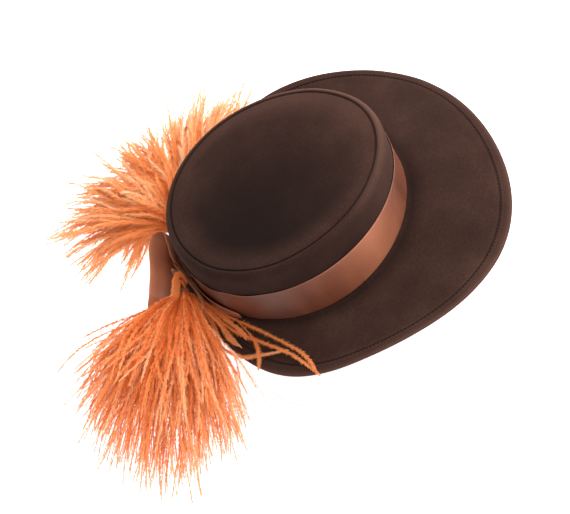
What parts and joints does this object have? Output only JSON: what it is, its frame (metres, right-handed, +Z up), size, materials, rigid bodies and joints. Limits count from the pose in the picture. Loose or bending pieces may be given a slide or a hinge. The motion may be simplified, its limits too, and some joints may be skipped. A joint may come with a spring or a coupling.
{
  "type": "felt tilt hat with satin bow and ostrich sprays",
  "caption": "Shallow oval felt crown on a wide waved brim, with a satin ribbon, a bow at the back and an ostrich spray on either side of it.",
  "frame": {"origin": "middle of the head opening, at the height of the brim line, where the head enters", "axes": "+Z up along the crown, -Y to the front of the hat, -X to the wearer's right"},
  "size_m": [0.3089, 0.3831, 0.1293],
  "materials": {
    "felt": "dark brown wool felt, matt, short nap",
    "satin_ribbon": "brown satin ribbon, soft gloss",
    "ostrich": "orange ostrich fronds, matt and fluffy"
  },
  "bodies": {
    "root": {"crown": "felt", "brim": "felt", "hat_band": "satin_ribbon", "bow_loop": "satin_ribbon", "bow_tail": "satin_ribbon", "bow_knot": "satin_ribbon", "plume_right": "ostrich", "plume_left": "ostrich"}
  },
  "joints": []
}
